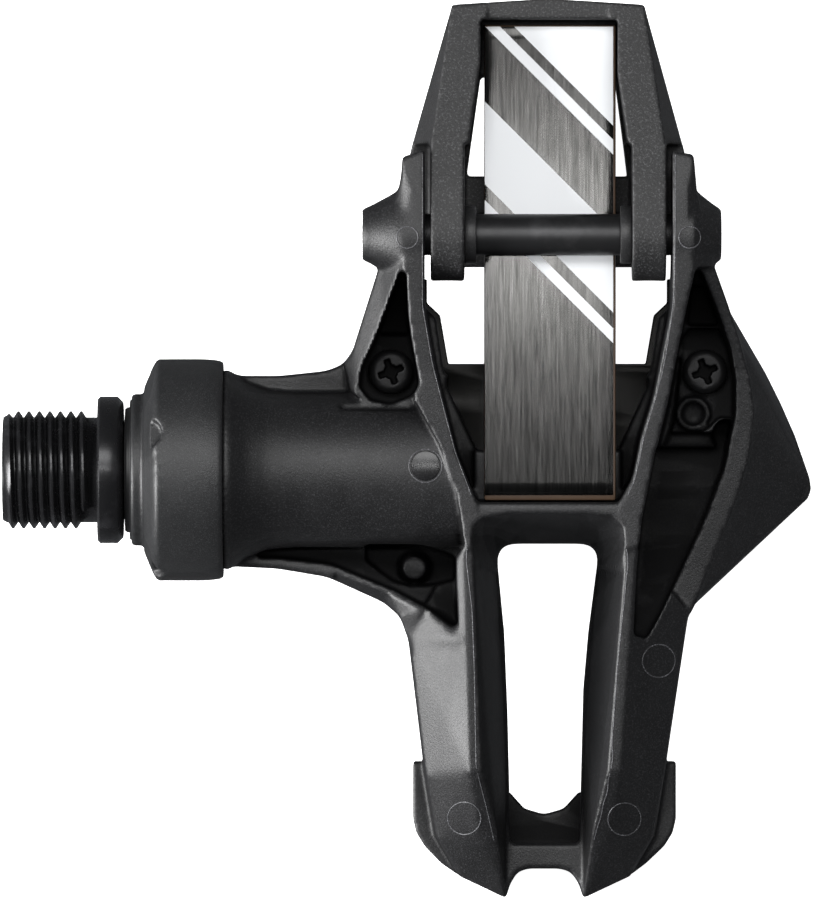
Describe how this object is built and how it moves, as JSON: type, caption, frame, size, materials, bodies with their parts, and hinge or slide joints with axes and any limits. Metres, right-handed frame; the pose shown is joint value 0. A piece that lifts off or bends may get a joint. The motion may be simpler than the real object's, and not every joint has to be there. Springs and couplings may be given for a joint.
{
  "type": "clipless pedal",
  "caption": "Clipless road pedal: a composite body turns on a threaded axle, and a sprung rear claw with a leaf blade and a front hoop hold the cleat.",
  "frame": {"origin": "on the axle's centre line, in the plane where the stop flange meets the crank arm", "axes": "+X along the axle away from the crank, +Y to the rear of the pedal where the claw is, +Z to the pedal's underside, so the shoe side faces -Z"},
  "size_m": [0.0981, 0.109, 0.0287],
  "materials": {
    "axle_steel": "gloss black oxide steel",
    "plain_steel": "turned steel",
    "bearing_steel": "ground and polished bearing steel",
    "cage_polymer": "moulded cage plastic",
    "cap_composite": "fine textured black composite",
    "seal_rubber": "satin black rubber",
    "body_composite": "satin fibre-filled black composite with fine grain",
    "plate_steel": "dark stainless sheet with bright edges",
    "screw_steel": "black oxide",
    "blade_composite": "dark pressed fibre laminate",
    "label_metal": "brushed dark metal film with white shapes",
    "pin_steel": "satin black oxide",
    "bush_polymer": "black bearing plastic",
    "claw_composite": "coarse grained black composite"
  },
  "bodies": {
    "axle": {"axle": "axle_steel", "bearing_spacer": "plain_steel", "axle_lock_washer": "plain_steel", "axle_lock_nut": "plain_steel", "inboard_inner_race": "bearing_steel", "outboard_inner_race": "bearing_steel"},
    "inboard_rollers": {"inboard_balls": "bearing_steel", "inboard_cage": "cage_polymer"},
    "outboard_rollers": {"outboard_balls": "bearing_steel", "outboard_cage": "cage_polymer"},
    "body": {"pedal_body": "body_composite", "bearing_cap": "cap_composite", "lip_seal": "seal_rubber", "cap_o_ring": "seal_rubber", "inboard_outer_race": "bearing_steel", "inboard_shields": "plain_steel", "outboard_outer_race": "bearing_steel", "outboard_shields": "plain_steel", "contact_plate": "plate_steel", "plate_inserts": "plain_steel", "plate_screws": "screw_steel", "spring_blade": "blade_composite", "blade_label": "label_metal", "claw_pin": "pin_steel"},
    "claw": {"claw": "claw_composite", "claw_bushes": "bush_polymer"}
  },
  "joints": [
    {"name": "body_spin", "type": "hinge", "parent": "axle", "child": "body", "pos_m": [0.02, 0, 0], "axis": [1, 0, 0], "continuous": true},
    {"name": "claw_pivot", "type": "hinge", "parent": "body", "child": "claw", "pos_m": [0.0545, 0.0284, 0.0075], "axis": [1, 0, 0], "range_deg": [0, 15], "stiffness_Nm_per_rad": 2, "springref_deg": -6.88, "deforming": ["spring_blade", "blade_label"]},
    {"name": "inboard_cage_spin", "type": "hinge", "parent": "axle", "child": "inboard_rollers", "pos_m": [0.0106, 0, 0], "axis": [1, 0, 0], "continuous": true},
    {"name": "outboard_cage_spin", "type": "hinge", "parent": "axle", "child": "outboard_rollers", "pos_m": [0.0347, 0, 0], "axis": [1, 0, 0], "continuous": true}
  ],
  "couplings": [
    {"joint": "inboard_cage_spin", "follows": "body_spin", "ratio": 0.572},
    {"joint": "outboard_cage_spin", "follows": "body_spin", "ratio": 0.595}
  ]
}
